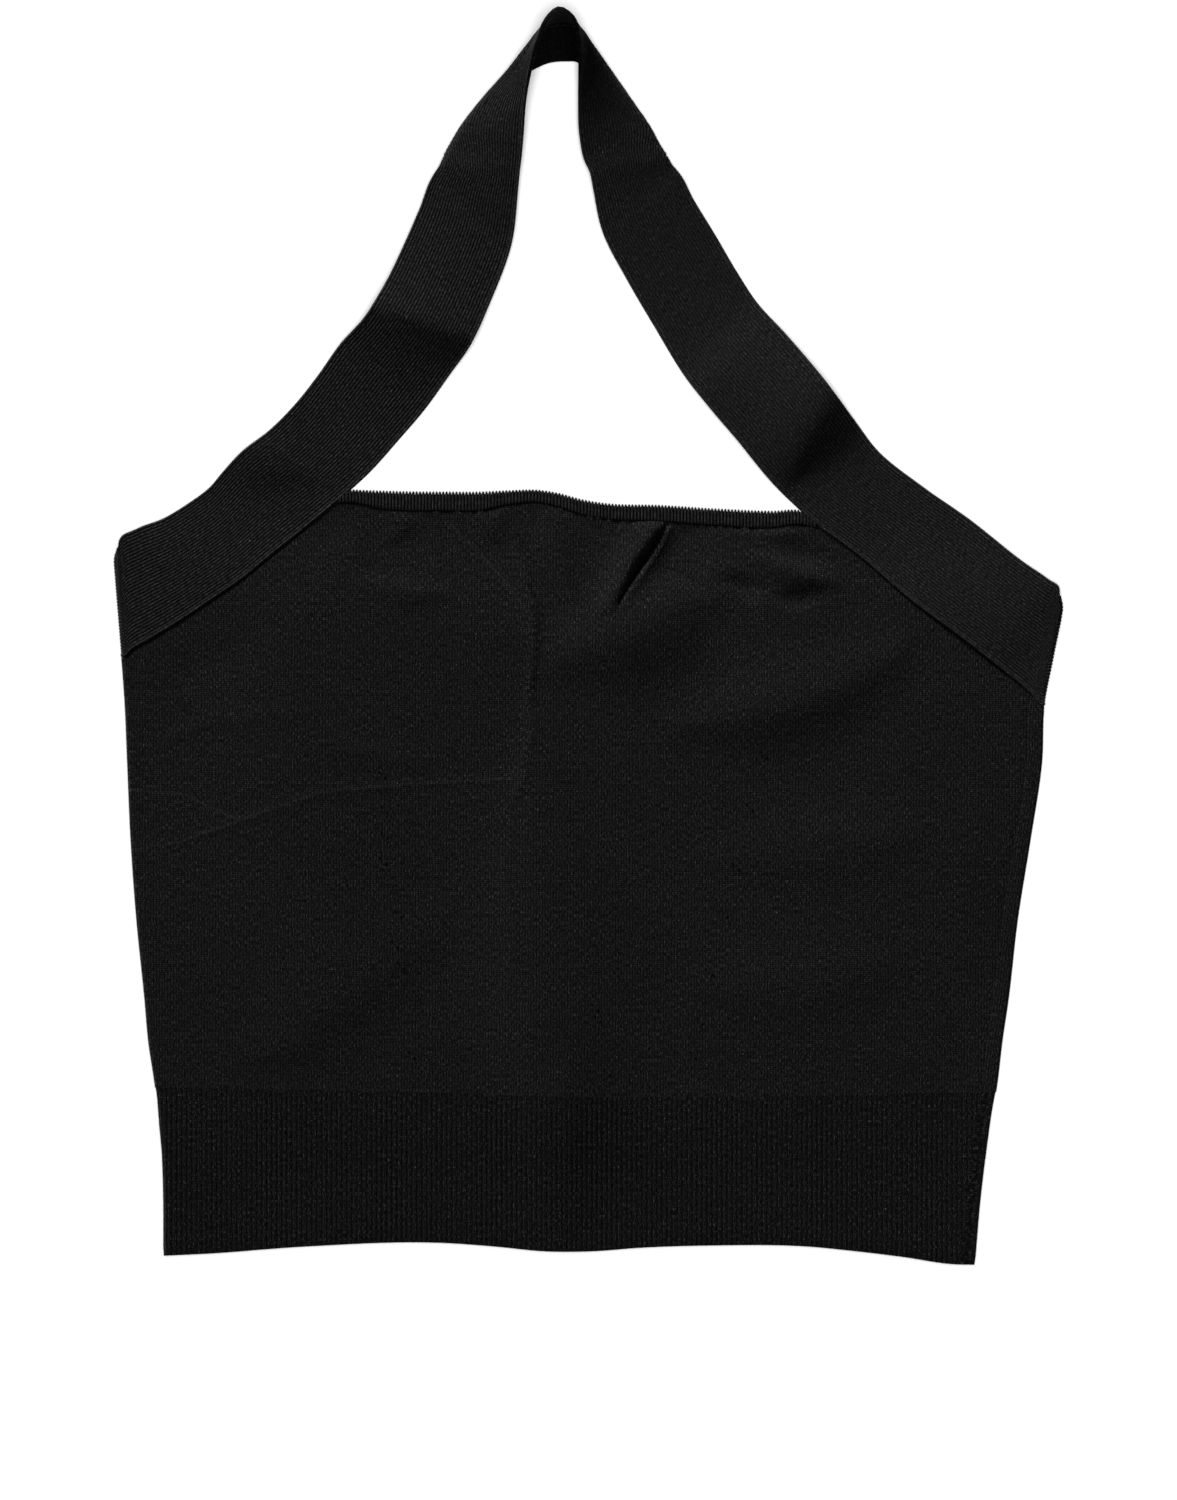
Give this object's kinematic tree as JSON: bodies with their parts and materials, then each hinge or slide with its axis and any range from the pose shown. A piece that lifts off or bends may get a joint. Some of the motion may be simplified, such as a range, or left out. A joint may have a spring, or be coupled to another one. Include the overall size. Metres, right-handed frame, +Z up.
{
  "type": "halter neck top laid flat",
  "caption": "Cropped halter neck top in black fine knit, laid flat: ribbed hem, wide ribbed halter band round the neck and across the back, bound neckline.",
  "frame": {"origin": "middle of the footprint, on the surface that the garment lies on", "axes": "+Y from the hem towards the neck, +X towards the garment's right edge as seen from above, +Z up from the surface"},
  "size_m": [0.4088, 0.5403, 0.0266],
  "materials": {
    "jersey": "matt black fine-gauge plain knit",
    "hem_rib": "matt black one-by-one rib",
    "band_rib": "matt black firm fine rib",
    "trim_rib": "matt black narrow rib binding"
  },
  "bodies": {
    "root": {"front_panel": "jersey", "back_panel": "jersey", "hem_rib_front": "hem_rib", "hem_rib_back": "hem_rib", "halter_strap": "band_rib", "back_band": "band_rib", "neckline_trim": "trim_rib"}
  },
  "joints": []
}
